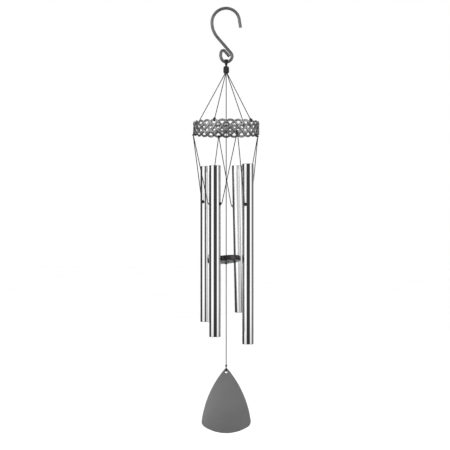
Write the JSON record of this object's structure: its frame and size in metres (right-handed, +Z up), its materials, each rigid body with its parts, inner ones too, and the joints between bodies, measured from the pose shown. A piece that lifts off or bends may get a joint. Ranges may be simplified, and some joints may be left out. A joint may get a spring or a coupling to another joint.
{
  "type": "wind chime",
  "caption": "Hanging wind chime: wire hook, corded bead, woven metal ring, polished tubes around a striker disc, and a rounded triangular metal windcatcher below.",
  "frame": {"origin": "the point inside the top of the hook that bears on its hanger", "axes": "+Z up along the hanging line, +X to the viewer's right in the hook's plane, +Y away from the viewer"},
  "size_m": [0.1152, 0.116, 0.711],
  "materials": {
    "hook_wire": "satin pewter-grey coating on steel wire",
    "filigree_metal": "antiqued pewter, dark in the recesses",
    "tube_metal": "polished, near mirror",
    "grommet_rubber": "matt black",
    "black_cord": "braided polyester cord, slight sheen",
    "bead_plastic": "moulded black, semi-gloss",
    "striker_finish": "black-stained turned wood, semi-gloss",
    "sail_metal": "satin grey coating on sheet metal"
  },
  "bodies": {
    "hook": {"hanging_hook": "hook_wire"},
    "hanger": {"hanger_loop": "black_cord"},
    "neck": {"hanger_neck": "black_cord"},
    "head": {"gather_bead": "bead_plastic", "gather_knot": "black_cord", "suspension_cord_1": "black_cord", "suspension_cord_2": "black_cord", "suspension_cord_3": "black_cord", "suspension_cord_4": "black_cord", "upper_knot_1": "black_cord", "upper_knot_2": "black_cord", "upper_knot_3": "black_cord", "upper_knot_4": "black_cord", "filigree_ring": "filigree_metal", "lower_knot_1": "black_cord", "lower_knot_2": "black_cord", "lower_knot_3": "black_cord", "lower_knot_4": "black_cord"},
    "tube_cord_1": {"tube_cord_1": "black_cord"},
    "tube_1": {"tube_1": "tube_metal", "tube_grommets_1": "grommet_rubber"},
    "tube_cord_2": {"tube_cord_2": "black_cord"},
    "tube_2": {"tube_2": "tube_metal", "tube_grommets_2": "grommet_rubber"},
    "tube_cord_3": {"tube_cord_3": "black_cord"},
    "tube_3": {"tube_3": "tube_metal", "tube_grommets_3": "grommet_rubber"},
    "tube_cord_4": {"tube_cord_4": "black_cord"},
    "tube_4": {"tube_4": "tube_metal", "tube_grommets_4": "grommet_rubber"},
    "centre_tie": {"centre_tie": "black_cord"},
    "clapper": {"clapper_cord": "black_cord", "striker": "striker_finish"},
    "striker_knot": {"striker_knot": "black_cord"},
    "sail_cord": {"sail_cord": "black_cord"},
    "sail_knot": {"sail_knot": "black_cord"},
    "sail_loop": {"sail_loop": "black_cord"},
    "sail": {"windcatcher": "sail_metal"}
  },
  "joints": [
    {"name": "hanger_sway", "type": "hinge", "parent": "hook", "child": "hanger", "pos_m": [0, 0, -0.07913], "axis": [0, 1, 0], "range_deg": [-15, 15]},
    {"name": "neck_swing", "type": "hinge", "parent": "hanger", "child": "neck", "pos_m": [0, 0, -0.09245], "axis": [1, 0, 0], "range_deg": [-15, 15]},
    {"name": "head_twist", "type": "hinge", "parent": "neck", "child": "head", "pos_m": [0, 0, -0.0946], "axis": [0, 0, 1], "range_deg": [-60, 60]},
    {"name": "tube_1_swing", "type": "hinge", "parent": "head", "child": "tube_cord_1", "pos_m": [0.03582, -0.01728, -0.2083], "axis": [-0.4344, -0.9007, 0], "range_deg": [-1.1, 12]},
    {"name": "tube_1_rock", "type": "hinge", "parent": "tube_cord_1", "child": "tube_1", "pos_m": [0.03582, -0.01728, -0.3252], "axis": [-0.4344, -0.9007, 0], "range_deg": [-0.6, 4]},
    {"name": "tube_2_swing", "type": "hinge", "parent": "head", "child": "tube_cord_2", "pos_m": [-0.01855, -0.03416, -0.2083], "axis": [0.8788, -0.4772, 0], "range_deg": [-12, 1.1]},
    {"name": "tube_2_rock", "type": "hinge", "parent": "tube_cord_2", "child": "tube_2", "pos_m": [-0.01855, -0.03416, -0.3246], "axis": [0.8788, -0.4772, 0], "range_deg": [-4, 0.6]},
    {"name": "tube_3_swing", "type": "hinge", "parent": "head", "child": "tube_cord_3", "pos_m": [-0.034, 0.02063, -0.2083], "axis": [-0.5188, -0.8549, 0], "range_deg": [-12, 1.1]},
    {"name": "tube_3_rock", "type": "hinge", "parent": "tube_cord_3", "child": "tube_3", "pos_m": [-0.034, 0.02063, -0.3196], "axis": [-0.5188, -0.8549, 0], "range_deg": [-4, 0.6]},
    {"name": "tube_4_swing", "type": "hinge", "parent": "head", "child": "tube_cord_4", "pos_m": [0.02037, 0.03752, -0.2083], "axis": [0.8788, -0.4772, 0], "range_deg": [-1.1, 12]},
    {"name": "tube_4_rock", "type": "hinge", "parent": "tube_cord_4", "child": "tube_4", "pos_m": [0.02037, 0.03752, -0.326], "axis": [0.8788, -0.4772, 0], "range_deg": [-3, 3]},
    {"name": "clapper_sway", "type": "hinge", "parent": "head", "child": "centre_tie", "pos_m": [0, 0, -0.1025], "axis": [-0.454, -0.891, 0], "range_deg": [-0.75, 0.75]},
    {"name": "clapper_swing", "type": "hinge", "parent": "centre_tie", "child": "clapper", "pos_m": [0, 0, -0.1025], "axis": [0.8829, -0.4695, 0], "range_deg": [-0.75, 0.75]},
    {"name": "sail_cord_sway", "type": "hinge", "parent": "clapper", "child": "striker_knot", "pos_m": [0, 0, -0.42315], "axis": [-0.454, -0.891, 0], "range_deg": [-8, 8]},
    {"name": "sail_cord_swing", "type": "hinge", "parent": "striker_knot", "child": "sail_cord", "pos_m": [0, 0, -0.42315], "axis": [0.8829, -0.4695, 0], "range_deg": [-8, 8]},
    {"name": "sail_twist", "type": "hinge", "parent": "sail_cord", "child": "sail_knot", "pos_m": [0, 0, -0.5933], "axis": [0, 0, 1], "continuous": true},
    {"name": "sail_nod", "type": "hinge", "parent": "sail_knot", "child": "sail_loop", "pos_m": [0, 0, -0.5954], "axis": [1, 0, 0], "range_deg": [-15, 15]},
    {"name": "sail_rock", "type": "hinge", "parent": "sail_loop", "child": "sail", "pos_m": [0, 0, -0.603], "axis": [0, 1, 0], "range_deg": [-20, 20]}
  ]
}
